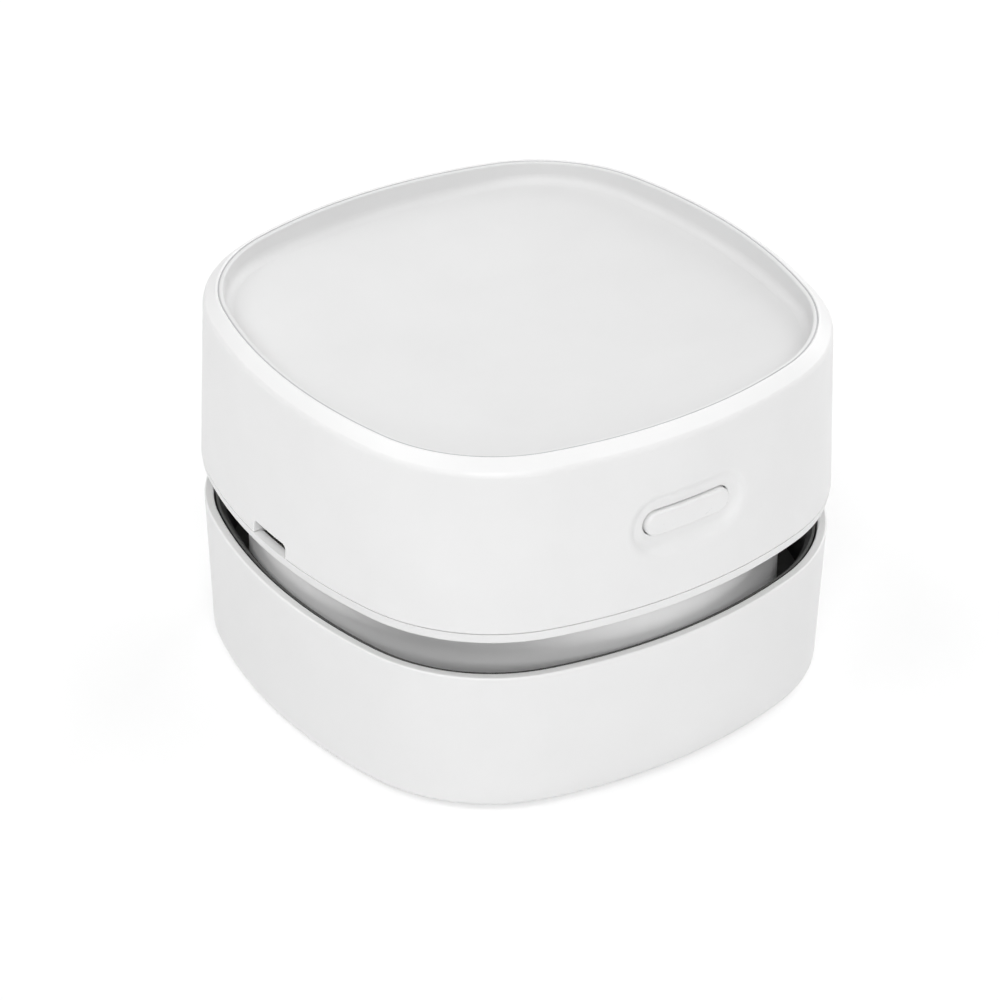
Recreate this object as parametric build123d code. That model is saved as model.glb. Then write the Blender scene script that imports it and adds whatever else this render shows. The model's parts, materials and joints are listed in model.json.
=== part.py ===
from build123d import *
import math
import os

# Desktop mini vacuum cleaner. Millimetres, +Z up. The origin is the centre of the footprint on the
# table. The power button faces -Y and the charging socket faces -X.
os.makedirs("parts", exist_ok=True)

# ---- Outline in plan, at the parting line where the body is widest ----
body_half = 45.0  # half the width across the flats
side_radius = 83.8  # bow of each of the four sides
corner_radius = 27.6

# ---- Heights, stacked from the table up ----
pad_proud = 0.5  # glide pads below the dust bin
bin_height = 23.9
waist_gap = 6.2  # open waist between the dust bin and the head
base_thickness = 1.7  # white band under the parting line
shell_height = 28.2
bevel_height = 1.76
bevel_round = 1.2
rim_round = 0.25
mouth_round = 0.15
band_round = 0.3

# ---- Walls, drafts and general clearances ----
shell_wall = 1.9
shell_draft = 1.11  # how much narrower the head is at the bevel, per side
band_draft = 0.29
exhaust_slots = 7  # at each corner
exhaust_pitch = 4.2  # degrees between them
exhaust_span = 2.1  # degrees that each one takes
exhaust_inset = 0.8  # from the collar to the slots
exhaust_reach = 0.5  # their outer end past the widest outline at the flats
exhaust_step = 0.3  # each slot away from the diagonal is this much shorter
vent_count = 6  # openings from the diffuser up into the head
vent_span = 18.0
vent_inset = 0.5  # from the collar's inner wall
vent_clearance = 0.4  # outside the diffuser
bin_wall = 1.47
bin_rim_inset = 0.2
bin_draft = 0.75
bin_edge_round = 1.0
bin_rim_round = 0.35
parting_gap = 0.15
lip_height = 1.6  # locating lip of the base inside the casing
lip_thickness = 1.1
fit_gap = 0.15  # between pieces that are fitted by hand or snap together
move_gap = 0.3  # between pieces that move past each other

# ---- Top tray ----
rim_inset = 3.45  # from the widest outline to the casing's mouth
rim_flat = 0.35
tray_gap = 0.15
tray_drop = 0.05  # lip of the tray below the rim
tray_lip = 0.6
tray_lip_round = 0.28
tray_depth = 4.05
tray_wall = 1.6
tray_fillet = 1.6
dish_sag = 3.4
ledge_width = 3.0
ledge_thickness = 1.6
tray_skirt = 0.8  # seat of the tray below its thin floor
tray_pocket_draft = 1.0
hook_width = 6.0
hook_thickness = 1.0
hook_barb = 0.6
hook_height = 1.2  # of the barb
hook_root = 0.3  # how far each hook runs up into the tray's floor

# ---- Power button ----
button_length = 15.2
button_height = 3.9
button_centre = 13.1  # above the parting line
button_gap = 0.2
button_travel = 0.8
button_flange = 1.4
button_flange_thickness = 1.0
button_recess = 0.1  # front of the cap behind the casing's own face
dimple_length = 21.0  # before its edge is rounded
dimple_height = 10.0
dimple_depth = 0.9
dimple_slope = 42.0  # degrees from the casing's face
dimple_root = 1.6  # radius at the foot of the slope
dimple_edge = 1.5  # radius where the slope meets the casing's face
slot_round = 0.12
button_round = 0.5
button_post_radius = 1.5
button_post_length = 2.0
plunger_radius = 1.7
plunger_bore = 2.4  # depth of its hole in the switch
plunger_reach = 0.8  # how far it stands inside the switch at rest
plunger_stroke_room = 0.6
switch_size = 6.0
switch_depth = 3.5
switch_board_width = 18.0
switch_board_height = 17.4
switch_board_lift = 0.5
board_thickness = 1.2
guide_size = 3.2
guide_height = 13.0

# ---- Charging socket and main board ----
notch_width = 8.8
notch_height = 2.3
notch_offset = -0.1  # along Y, from the middle of the side
notch_corner = 0.8
notch_round = 0.15
socket_width = 8.94
socket_height = 3.16
socket_length = 7.35
socket_wall = 0.3
socket_back = 1.0  # closed end of the socket
socket_reach = 0.2  # mouth past the inner face of the casing, in a relief
socket_sunk = 0.45  # into a pocket of the base, so that its opening starts at the notch's floor
tongue_width = 6.7
tongue_thickness = 0.7
tongue_setback = 1.0
leg_width = 0.8
leg_reach = 1.0  # past the socket's side
leg_root = 1.0  # inside it
leg_thickness = 0.3
leg_first = 0.6  # from the board's edge to the first leg
leg_pitch = 1.4
board_half_width = 12.0
board_lift = 1.1
post_inset = 2.6  # board posts from the board's edges
post_radius = 2.0
board_edge_gap = 4.0  # main board to the casing's inner face
board_motor_gap = 3.0
chip_length = 5.0
chip_height = 1.2
chip_inset = 4.0  # from the board's inner edge
coil_length = 5.0
coil_height = 3.0
coil_inset = 9.0  # from the board's outer edge
capacitor_radius = 2.2
capacitor_height = 5.0
capacitor_inset = 10.0
small_part_width = 2.0
small_part_length = 3.0
small_part_height = 1.0
small_part_inset = 5.0
side_part_place = 8.0  # from the board's middle line to its coil, capacitor and small parts

# ---- Motor ----
motor_radius = 12.2
motor_length = 15.0
can_wall = 0.8
endcap_height = 2.0
motor_boss_radius = 3.0
bearing_radius = 2.2
bearing_length = 2.4
shaft_radius = 1.0
shaft_gap = 0.05  # running clearance in the bearings
front_bearing_inset = 0.1  # from the foot of the can's boss
rear_bearing_drop = 0.5  # below the end cap's joint
magnet_thickness = 1.8
magnet_span = 130.0  # degrees
magnet_gap = 0.05  # glue line
rotor_air_gap = 0.5
rotor_length = 8.0
rotor_lift = 2.5  # above the motor's seat
rotor_poles = 3
rotor_core_radius = 3.0
pole_width = 2.4
pole_shoe = 1.6
pole_span = 84.0
coil_width = 5.2
coil_overhang = 0.8
commutator_radius = 2.4
commutator_gap = 0.2
terminal_width = 2.2
terminal_thickness = 0.5
terminal_inset = 3.5
terminal_height = 1.4
motor_screw_circle = 8.0
motor_screw_end = 0.6  # past the can's wall
motor_vent_span = 34.0
motor_vent_height = 3.0
motor_vent_drop = 2.0  # below the end cap
endcap_spigot = 1.0
endcap_chamfer = 0.5

# ---- Fan ----
fan_blades = 11
blade_thickness = 0.9
blade_sweep = 46.0  # degrees turned through from the eye to the tip
blade_bow = 0.62  # share of a blade's sweep that is done at its middle radius
fan_eye = 9.0
fan_disc = 1.2
fan_hub_radius = 3.6
fan_hub_foot = 2.6  # flare of the hub where it meets the disc
fan_hub_flare = 1.4
fan_nose = 0.4  # hub behind the blades' front edges
fan_nose_height = 1.2
fan_eye_slant = 1.6
fan_shoulder = 5.0  # level part of the blades' front edge
fan_tip_drop = 1.6  # blades are this much shorter at the tip
fan_tip_inset = 0.2
fan_running_gap = 0.8
diffuser_depth = 5.4
diffuser_gap = 1.2
diffuser_vanes = 9
diffuser_sweep = 14.0
diffuser_vane_thickness = 1.0
diffuser_vane_inset = 0.5
diffuser_phase = 20.0
diffuser_plate = 1.2
diffuser_boss_radius = 2.2
diffuser_boss_inset = 2.4

# ---- Neck, lid and filter ----
waist_setback = 3.4  # band's outline to the collar, at the flats
neck_wall = 1.8
neck_ledge = 3.6
neck_ledge_thickness = 1.6
inlet_plate_thickness = 1.6
inlet_round = 1.4  # bell mouth
guard_ribs = 8
guard_rib_width = 0.9
guard_hub_radius = 2.4
guard_ring_radius = 5.8
guard_recess = 0.3
ear_inset = 3.3
ear_radius = 3.2
ear_thickness = 1.6
ear_neck = 10.0  # degrees of collar wall that carry each ear
boss_radius = 2.8
boss_height = 12.0
boss_rib = 1.6
lid_drop = 5.4  # lid's plinth, inside the collar, below the dust bin's rim
gutter_drop = 12.0  # lid's gutter, outside the collar, below the dust bin's rim
liner_drop = 0.4  # lid's outer wall below the dust bin's rim
lid_thickness = 2.0
liner_thickness = 1.3
liner_tip = 0.4  # thickness left at its top edge
liner_bevel = 1.8
plinth_wall = 1.5
lid_seal_thickness = 1.0
seal_width = 2.2
seal_gap = 0.1  # above the dust bin's ledge
bin_ledge_width = 2.8
bin_ledge_thickness = 1.6
tab_angle = 12.0  # degrees that each bayonet tab spans
tab_thickness = 1.3
tab_foot = 1.3
tab_foot_height = 1.2
twist_angle = 20.0  # turn that frees the bayonet
slot_play = 2.0  # degrees
filter_inset = 4.6  # bayonet slots to the filter's opening
filter_flange = 1.8
filter_flange_thickness = 1.0
filter_height = 4.8
filter_wall = 1.5
filter_ribs = 6
filter_rib_width = 1.4
filter_hub_radius = 6.3
filter_ring_share = 0.6  # of the cup's radius, for the middle ring
filter_phase = 15.0
filter_floor = 1.2
mesh_thickness = 0.6

# ---- Dust bin floor, nozzle and brush ----
plate_recess = 0.8
plate_thickness = 1.7
bin_floor = 1.6
inlet_radius = 13.0
throat_radius = 9.5
funnel_height = 4.0  # above the dust bin's floor
funnel_wall = 1.2
funnel_flange = 2.2
funnel_flange_thickness = 1.0
brush_radius = 17.4
brush_width = 2.8
brush_groove = 1.0
brush_seated = 0.9  # height of the strip in its groove
brush_proud = 0.2
brush_tufts = 36
tuft_radius = 0.75
tuft_clearance = 0.05
channel_turns = (30, 60, 120, 150, 210, 240, 300, 330)
channel_span = 5.0
channel_depth = 0.6
channel_end = 3.0  # from the plate's edge
pad_radius = 4.0
pad_circle = 38.0
pad_seat = 0.5
pad_round = 0.3
nozzle_screw_circle = 31.0
nozzle_boss_radius = 2.6
nozzle_boss_height = 4.4
nozzle_boss_roof = 1.0  # above the blind hole
nozzle_head_recess = 0.7

# ---- Battery ----
cell_radius = 7.0
cell_length = 50.0
cell_round = 0.8
cell_cap_radius = 2.6
cell_cap_proud = 0.8
holder_wall = 1.2
holder_height = 9.0
holder_side = 0.36  # wall left beside the cell
holder_outer = 4.2  # outer wall from the cell's axis
holder_window_end = 6.0
holder_window_half = 3.0
contact_thickness = 0.5
contact_width = 6.0
contact_below = 5.0
contact_above = 4.0

# ---- Screws ----
screw_radius = 1.0
screw_head_radius = 1.9
screw_head_height = 1.1
screw_bite = 6.0
inlet_screw_bite = 4.0
screw_end_gap = 0.5  # left below a screw in a blind hole
recess_width = 0.5
recess_share = 0.6  # of the head's radius
over = 1.0  # how far a cutting solid runs past what it cuts

# ---- Levels and radii that follow ----
z_bin = pad_proud
z_rim_low = z_bin + bin_height
z_band = z_rim_low + waist_gap
z_part = z_band + base_thickness
z_rim = z_part + shell_height
z_bevel = z_rim - bevel_height
z_lip = z_rim - tray_drop
z_dish_edge = z_lip - tray_depth
z_dish = z_dish_edge - dish_sag
z_seat = z_dish_edge - tray_wall - tray_skirt
z_lid = z_rim_low - lid_drop
z_lid_low = z_lid - lid_thickness
z_gutter = z_rim_low - gutter_drop
z_gutter_low = z_gutter - lid_thickness
z_liner = z_rim_low - liner_drop
z_bin_ledge = z_gutter_low - lid_seal_thickness
z_plate = z_bin + plate_recess
z_floor_low = z_plate + plate_thickness
z_floor = z_floor_low + bin_floor
z_button = z_part + button_centre
z_neck = z_lid + fit_gap
z_inlet = z_neck + neck_ledge_thickness
z_inlet_top = z_inlet + inlet_plate_thickness

mouth_half = body_half - rim_inset
tray_half = mouth_half - tray_gap
neck_radius = body_half - waist_setback
neck_inner = neck_radius - neck_wall
ear_circle = neck_inner - ear_inset
diffuser_outer = ear_circle - ear_radius - fit_gap
diffuser_inner = diffuser_outer - diffuser_depth
fan_radius = diffuser_inner - diffuser_gap
plinth_radius = neck_inner - move_gap
tab_outer = plinth_radius - plinth_wall - 2 * fit_gap
tab_inner = tab_outer - tab_thickness
slot_inner = tab_inner - tab_foot - move_gap
filter_radius = slot_inner + tab_foot - filter_inset
boss_y = board_half_width + move_gap + boss_radius
boss_angle = math.degrees(math.asin(boss_y / ear_circle))
cell_y = boss_y + boss_radius + move_gap + holder_side + fit_gap + cell_radius
z_cell = z_part + holder_wall + fit_gap + cell_radius
z_socket = z_part + parting_gap + socket_height / 2 - socket_sunk
dish_radius = ((tray_half - tray_wall) ** 2 + dish_sag**2) / (2 * dish_sag)
clear_radius = body_half * 1.3  # outside the body all the way round


# ---- Plan outline and simple solids ----
side_centre = side_radius - body_half
centre_reach = side_radius - corner_radius
corner_centre = (math.sqrt(2 * centre_reach**2 - side_centre**2) - side_centre) / 2
side_half_angle = math.atan2(corner_centre, corner_centre + side_centre)


def turned(x, y, degrees):
    """The point (x, y) turned about the origin."""
    a = math.radians(degrees)
    return (x * math.cos(a) - y * math.sin(a), x * math.sin(a) + y * math.cos(a))


def polar(radius, degrees):
    return turned(radius, 0, degrees)


def outline(half, z=0):
    """Rounded square of eight tangent arcs, inset evenly from the widest outline."""
    inset = body_half - half
    side = side_radius - inset
    corner = corner_radius - inset
    near = side * math.cos(side_half_angle) - side_centre
    far = side * math.sin(side_half_angle)
    diagonal = corner_centre + corner * math.sqrt(0.5)
    arcs = []
    for turn in (0, 90, 180, 270):
        start, end = turned(near, -far, turn), turned(near, far, turn)
        last = turned(far, near, turn)
        arcs.append(ThreePointArc(start, turned(half, 0, turn), end))
        arcs.append(ThreePointArc(end, turned(diagonal, diagonal, turn), last))
    return Pos(0, 0, z) * Face(Wire(arcs))


def block(half_low, half_high, z_low, z_high):
    """Solid of the plan outline, drafted from one half width to another."""
    height = z_high - z_low
    draft = math.degrees(math.atan((half_low - half_high) / height))
    return extrude(outline(half_low, z_low), amount=height, dir=(0, 0, 1), taper=draft)


def disc(radius, z_low, z_high, x=0, y=0):
    low = (Align.CENTER, Align.CENTER, Align.MIN)
    return Pos(x, y, z_low) * Cylinder(radius, z_high - z_low, align=low)


def ring(outer, inner, z_low, z_high, x=0, y=0):
    return disc(outer, z_low, z_high, x, y) - disc(inner, z_low - over, z_high + over, x, y)


def bar(x_low, x_high, y_low, y_high, z_low, z_high):
    low = (Align.MIN, Align.MIN, Align.MIN)
    return Pos(x_low, y_low, z_low) * Box(x_high - x_low, y_high - y_low, z_high - z_low, align=low)


def arc_block(outer, inner, middle, span, z_low, z_high):
    """Part of a ring, centred on an angle and spanning so many degrees."""
    a, b = middle - span / 2, middle + span / 2
    edges = [
        ThreePointArc(polar(outer, a), polar(outer, middle), polar(outer, b)),
        Line(polar(outer, b), polar(inner, b)),
        ThreePointArc(polar(inner, b), polar(inner, middle), polar(inner, a)),
        Line(polar(inner, a), polar(outer, a)),
    ]
    return extrude(Pos(0, 0, z_low) * Face(Wire(edges)), amount=z_high - z_low, dir=(0, 0, 1))


def rod_x(radius, x_low, x_high, y, z):
    low = (Align.CENTER, Align.CENTER, Align.MIN)
    return Pos(x_low, y, z) * Rotation(0, 90, 0) * Cylinder(radius, x_high - x_low, align=low)


def rod_y(radius, y_low, y_high, z):
    low = (Align.CENTER, Align.CENTER, Align.MIN)
    return Pos(0, y_high, z) * Rotation(90, 0, 0) * Cylinder(radius, y_high - y_low, align=low)


def pill(length, height, y_low, y_high, z):
    """Stadium on the front face, as a bar along Y."""
    face = Plane.XZ * SlotOverall(length, height)
    return Pos(0, y_high, z) * extrude(face, amount=y_high - y_low)


def revolved(points):
    """Solid of revolution from (radius, z) points."""
    corners = [(r, 0, z) for r, z in points]
    return revolve(Face(Polyline(*corners, close=True).wires()[0]), Axis.Z, 360)


def screw(x, y, z_head, length, up=True, recess=False):
    """Pan-head screw. z_head is the seat under its head, and it runs up or down from there."""
    body = disc(screw_head_radius, -screw_head_height, 0) + disc(screw_radius, 0, length)
    if recess:
        arm = screw_head_radius * recess_share
        deep = -screw_head_height / 2
        for turn in (0, 90):
            slot = bar(-arm, arm, -recess_width / 2, recess_width / 2, deep - over, deep)
            body -= Rotation(0, 0, turn) * slot
    if not up:
        body = Rotation(180, 0, 0) * body
    return Pos(x, y, z_head) * body


def group(solids):
    """Separate solids that share one node."""
    return Compound(children=[s for item in solids for s in item.solids()])


def level_edges(solid, z, most=clear_radius):
    """Edges of the plan outline that lie at one height, out to a half width of at most so much."""
    tiny = 0.001
    return [edge for edge in solid.edges()
            if abs(edge.bounding_box().min.Z - z) < tiny and abs(edge.bounding_box().max.Z - z) < tiny
            and max(abs(edge.center().X), abs(edge.center().Y)) < most]


def inside_box(edges, low, high):
    """The edges that lie wholly between two corners."""
    found = []
    for edge in edges:
        span = edge.bounding_box()
        starts = span.min.X > low[0] and span.min.Y > low[1] and span.min.Z > low[2]
        ends = span.max.X < high[0] and span.max.Y < high[1] and span.max.Z < high[2]
        if starts and ends:
            found.append(edge)
    return found


def shell_half(z):
    return body_half - shell_draft * (z - z_part) / (z_bevel - z_part)


def bin_half(z):
    return body_half - bin_rim_inset - bin_draft * (z_rim_low - z) / bin_height


def above_dish(sphere_radius, z_centre):
    """Everything above a shallow bowl whose lowest point is at z_centre."""
    reach = clear_radius
    top = z_rim + over
    edge = z_centre + sphere_radius - math.sqrt(sphere_radius**2 - reach**2)
    halfway = z_centre + sphere_radius - math.sqrt(sphere_radius**2 - reach**2 / 4)
    sides = [
        ThreePointArc((0, 0, z_centre), (reach / 2, 0, halfway), (reach, 0, edge)),
        Line((reach, 0, edge), (reach, 0, top)),
        Line((reach, 0, top), (0, 0, top)),
        Line((0, 0, top), (0, 0, z_centre)),
    ]
    return revolve(Face(Wire(sides)), Axis.Z, 360)


# ---- Head: casing, tray, base and collar ----
boss_turns = (boss_angle, 180 - boss_angle, 180 + boss_angle, -boss_angle)
corner_turns = (45, 135, 225, 315)
z_ledge_low = z_seat - ledge_thickness


def dimple():
    """Soft pill-shaped hollow that follows the bowed front."""
    face_radius = side_centre + shell_half(z_button)
    deep, proud = face_radius - dimple_depth, face_radius + over
    slope = math.tan(math.radians(dimple_slope))
    floor_half = dimple_height / 2 - dimple_depth / slope
    top_half = dimple_height / 2 + over / slope
    points = [(deep, 0, floor_half), (proud, 0, top_half), (proud, 0, -top_half), (deep, 0, -floor_half)]
    section = Face(Polyline(*points, close=True).wires()[0])
    section = section.fillet_2d(dimple_root, section.vertices().group_by(Axis.X)[0])
    half_angle = math.degrees((dimple_length - dimple_height) / 2 / face_radius)
    tool = revolve(Rotation(0, 0, -90 - half_angle) * section, Axis.Z, 2 * half_angle)
    points = [(deep, 0, 0), (deep, 0, floor_half), (proud, 0, top_half), (proud, 0, 0)]
    quarter = Face(Polyline(*points, close=True).wires()[0])
    quarter = quarter.fillet_2d(dimple_root, quarter.vertices().group_by(Axis.X)[0].sort_by(Axis.Z)[-1:])
    end = revolve(quarter, Axis.X, 180)
    tool += Rotation(0, 0, -90 - half_angle) * end
    tool += Rotation(0, 0, -90 + half_angle) * Rotation(180, 0, 0) * end
    return Pos(0, side_centre, z_button) * tool


def notch():
    """Charging notch through the side wall, open to the parting line."""
    face = Plane.YZ * Rectangle(notch_width, notch_height + over, align=(Align.CENTER, Align.MIN))
    face = fillet(face.vertices().group_by(Axis.Z)[-1], notch_corner)
    cut = extrude(face, amount=2 * shell_wall + over, dir=(1, 0, 0))
    return Pos(-body_half - over, notch_offset, z_part - over) * cut


def upper_shell():
    """Casing with a bevelled rim, the button's dimple, the charging notch and four screw bosses."""
    outer = block(shell_half(z_part), shell_half(z_bevel), z_part, z_bevel)
    outer += block(shell_half(z_bevel), mouth_half + rim_flat, z_bevel, z_rim)
    outer = fillet(level_edges(outer, z_bevel), bevel_round)
    outer = fillet(level_edges(outer, z_rim), rim_round)
    reach, high = dimple_length / 2 + over, dimple_height / 2 + over
    outer -= dimple()
    near = body_half - 2 * dimple_depth
    outer = fillet(inside_box(outer.edges(), (-reach, -body_half - over, z_button - high - over),
                              (reach, -near, z_button + high + over)), dimple_edge)
    inner_low, inner_high = shell_half(z_part) - shell_wall, shell_half(z_ledge_low) - shell_wall
    shell = outer - block(inner_low, inner_high, z_part, z_ledge_low)
    shell -= block(mouth_half, mouth_half, z_seat, z_rim + over)
    shell = fillet(level_edges(shell, z_rim, mouth_half + rim_flat / 2), mouth_round)
    shell -= block(mouth_half - ledge_width, mouth_half - ledge_width, z_ledge_low - over, z_seat + over)
    slot_length, slot_height = button_length + 2 * button_gap, button_height + 2 * button_gap
    shell -= pill(slot_length, slot_height, -body_half - over, -near + shell_wall, z_button)
    slot_near = (-button_length, -body_half - over, z_button - button_height)
    slot_far = (button_length, (dimple_depth + shell_wall) / 2 - near, z_button + button_height)
    shell = fillet(inside_box(shell.edges(), slot_near, slot_far), slot_round)
    shell -= notch()
    shell -= block(body_half + over, body_half + over, z_part - over, z_part + parting_gap)
    notch_near = (-body_half - over, notch_offset - notch_width, z_part)
    notch_far = (shell_wall / 2 - body_half, notch_offset + notch_width, z_part + 2 * notch_height)
    shell = fillet(inside_box(shell.edges(), notch_near, notch_far), notch_round)
    shell -= socket_form(fit_gap, socket_mouth() - fit_gap, 2 * shell_wall)
    mid_wall = shell_wall / 2
    inside = block(shell_half(z_part) - mid_wall, shell_half(z_bevel) - mid_wall, z_part, z_bevel)
    z_rib = z_part + lip_height + fit_gap
    z_boss = z_part + boss_height
    for turn in boss_turns:
        x, y = polar(ear_circle, turn)
        rib = bar(ear_circle, clear_radius, -boss_rib / 2, boss_rib / 2, z_rib, z_boss)
        column = disc(boss_radius, z_part, z_boss, x, y) + (Rotation(0, 0, turn) * rib & inside)
        shell += column - disc(screw_radius, z_part - over, z_part + screw_bite + screw_end_gap, x, y)
    return shell


def top_tray():
    """Dished cover with a rounded lip, a skirt to stand on and four snap hooks."""
    z_low = z_dish - 2 * tray_wall
    floor_low = above_dish(dish_radius + tray_wall, z_dish - tray_wall)
    tray = block(tray_half, tray_half, z_low, z_lip) & floor_low
    skirt = block(tray_half, tray_half, z_seat, z_dish_edge)
    tray += skirt - block(tray_half - tray_wall, tray_half - tray_wall, z_seat - over, z_dish_edge + over)
    pocket_half = tray_half - tray_lip
    pocket = block(pocket_half - tray_pocket_draft, pocket_half, z_low, z_lip + over)
    pocket &= above_dish(dish_radius, z_dish)
    bottom = pocket.faces().sort_by(Axis.Z)[0]
    tray -= fillet(bottom.edges(), tray_fillet)
    tray = fillet(level_edges(tray, z_lip), tray_lip_round)
    z_hook = z_ledge_low - fit_gap
    z_tip, z_root = z_hook - hook_height, z_dish_edge - tray_wall + hook_root
    arm_out = mouth_half - ledge_width - fit_gap
    half = hook_width / 2
    hook = bar(arm_out - hook_thickness, arm_out, -half, half, z_tip, z_root)
    hook += bar(arm_out - hook_thickness, arm_out + fit_gap + hook_barb, -half, half, z_tip, z_hook)
    for turn in (0, 90, 180, 270):
        tray += Rotation(0, 0, turn) * hook
    return tray


def upper_base():
    """Band and floor of the head, with the exhaust slots, board posts and locating rib."""
    base = block(body_half - band_draft, body_half, z_band, z_part)
    base = fillet(level_edges(base, z_band), band_round)
    lip_half = body_half - shell_wall - fit_gap
    lip = block(lip_half, lip_half, z_band, z_part + lip_height)
    lip_inner = lip_half - lip_thickness
    base += lip - block(lip_inner, lip_inner, z_band - over, z_part + lip_height + over)
    base -= socket_room()
    for corner in corner_turns:
        for index in range(exhaust_slots):
            step = index - (exhaust_slots - 1) / 2
            outer = body_half + exhaust_reach - abs(step) * exhaust_step
            base -= arc_block(outer, neck_radius + exhaust_inset, corner + step * exhaust_pitch, exhaust_span,
                              z_band - over, z_part + over)
    base -= disc(motor_boss_radius + fit_gap, z_band - over, z_part + over)
    holes = [polar(motor_screw_circle, turn) for turn in (0, 180)]
    holes += [polar(ear_circle, turn) for turn in boss_turns]
    for x, y in holes:
        base -= disc(screw_radius + fit_gap, z_band - over, z_part + over, x, y)
    for index in range(vent_count):
        base -= arc_block(neck_inner - vent_inset, diffuser_outer + vent_clearance, index * 360 / vent_count,
                          vent_span, z_band - over, z_part + over)
    return base + board_posts() + board_guides()


def socket_room():
    """Gap in the locating rib behind the notch, and a pocket under the socket."""
    half = socket_width / 2 + fit_gap
    low, high = notch_offset - half, notch_offset + half
    mouth = socket_mouth() - fit_gap
    room = bar(-body_half, board_span()[0], low, high, z_part, z_part + lip_height + over)
    return room + bar(mouth, mouth + socket_length + 2 * fit_gap, low, high,
                      z_socket - socket_height / 2 - fit_gap, z_part + over)


def board_span():
    """Low and high X of the main board."""
    inner = shell_half(z_part) - shell_wall
    return -inner + board_edge_gap, -motor_radius - board_motor_gap


def board_screw_places():
    x = board_span()[1] - post_inset
    y = board_half_width - post_inset
    return [(x, -y), (x, y)]


def board_posts():
    """Two screw posts and two plain rests for the main board."""
    x = board_span()[0] + post_inset
    y = board_half_width - post_inset
    post = ring(post_radius, screw_radius, z_part, z_part + board_lift)
    posts = [Pos(*place, 0) * post for place in board_screw_places() + [(x, -y), (x, y)]]
    return posts[0] + posts[1:]


def switch_levels():
    """Y of the button's flange, its back, the switch's front and the board's two faces."""
    inner = -shell_half(z_button) + shell_wall
    sag = (button_length / 2 + button_flange) ** 2 / (2 * side_radius)
    flange_front = inner + sag + move_gap
    flange_back = flange_front + button_flange_thickness
    switch_front = flange_back + button_post_length + plunger_stroke_room + button_travel
    board_front = switch_front + switch_depth
    return flange_front, flange_back, switch_front, board_front, board_front + board_thickness


def board_guides():
    """Two grooved posts that hold the switch board upright."""
    front, back = switch_levels()[3:]
    middle = (front + back) / 2
    half, reach = switch_board_width / 2, guide_size / 2
    post = bar(half - reach, half + reach, middle - reach, middle + reach, z_part, z_part + guide_height)
    groove = bar(-half - fit_gap, half + fit_gap, front - fit_gap, back + fit_gap,
                 z_part + switch_board_lift - fit_gap, z_part + guide_height + over)
    return post + mirror(post, Plane.YZ) - groove


def neck_collar():
    """Round collar with the inner ledge for the inlet plate, screw ears and bayonet tabs."""
    collar = ring(neck_radius, neck_inner, z_gutter + fit_gap, z_band)
    collar += ring(neck_radius, neck_inner - neck_ledge, z_neck, z_inlet)
    z_ear = z_band - ear_thickness
    for turn in boss_turns:
        x, y = polar(ear_circle, turn)
        ear = disc(ear_radius, z_ear, z_band, x, y)
        ear += arc_block(neck_radius, ear_circle, turn, ear_neck, z_ear, z_band)
        collar += ear - disc(screw_radius + fit_gap, z_ear - over, z_band + over, x, y)
    z_foot = z_lid_low - fit_gap
    z_tip = z_foot - tab_foot_height
    for turn in corner_turns:
        collar += arc_block(tab_outer, tab_inner, turn, tab_angle, z_tip, z_inlet)
        collar += arc_block(tab_outer, tab_inner - tab_foot, turn, tab_angle, z_tip, z_foot)
    return collar


def inlet_screw_places():
    return [polar(diffuser_outer - diffuser_boss_inset, turn) for turn in (0, 120, 240)]


def inlet_plate():
    """Plate between the filter and the fan, with a bell mouth and a finger guard."""
    plate = ring(neck_inner - fit_gap, fan_eye, z_inlet, z_inlet_top)
    plate = fillet(plate.edges().group_by(Axis.Z)[0].sort_by(SortBy.LENGTH)[0], inlet_round)
    z_guard = z_inlet + guard_recess
    half = guard_rib_width / 2
    plate += disc(guard_hub_radius, z_guard, z_inlet_top)
    plate += ring(guard_ring_radius + half, guard_ring_radius - half, z_guard, z_inlet_top)
    rib = bar(guard_hub_radius - half, fan_eye + half, -half, half, z_guard, z_inlet_top)
    for index in range(guard_ribs):
        plate += Rotation(0, 0, index * 360 / guard_ribs) * rib
    for x, y in inlet_screw_places():
        plate -= disc(screw_radius + fit_gap, z_inlet - over, z_inlet_top + over, x, y)
    return plate


# ---- Fan and motor ----
z_fan_top = z_band - fan_running_gap - screw_head_height
z_fan_disc = z_fan_top - fan_disc
z_blade_low = z_inlet_top + fan_running_gap
z_can = z_part
z_endcap = z_can + motor_length
z_motor_top = z_endcap + endcap_height
z_rotor = z_can + rotor_lift
terminal_turns = (90, 270)


def swept_blade(r_in, r_out, sweep, thickness, z_low, z_high):
    """Curved blade of even thickness that leans back from its inner to its outer end."""
    start, end = polar(r_in, 0), polar(r_out, -sweep)
    bow = polar((r_in + r_out) / 2, -sweep * blade_bow)
    path = ThreePointArc(start, bow, end)
    centre, radius = path.arc_center, path.radius
    front, back = radius + thickness / 2, radius - thickness / 2

    def shifted(point, reach):
        dx, dy = point[0] - centre.X, point[1] - centre.Y
        scale = reach / radius
        return (centre.X + dx * scale, centre.Y + dy * scale)

    edges = [
        ThreePointArc(shifted(start, front), shifted(bow, front), shifted(end, front)),
        Line(shifted(end, front), shifted(end, back)),
        ThreePointArc(shifted(end, back), shifted(bow, back), shifted(start, back)),
        Line(shifted(start, back), shifted(start, front)),
    ]
    return extrude(Pos(0, 0, z_low) * Face(Wire(edges)), amount=z_high - z_low, dir=(0, 0, 1))


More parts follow.
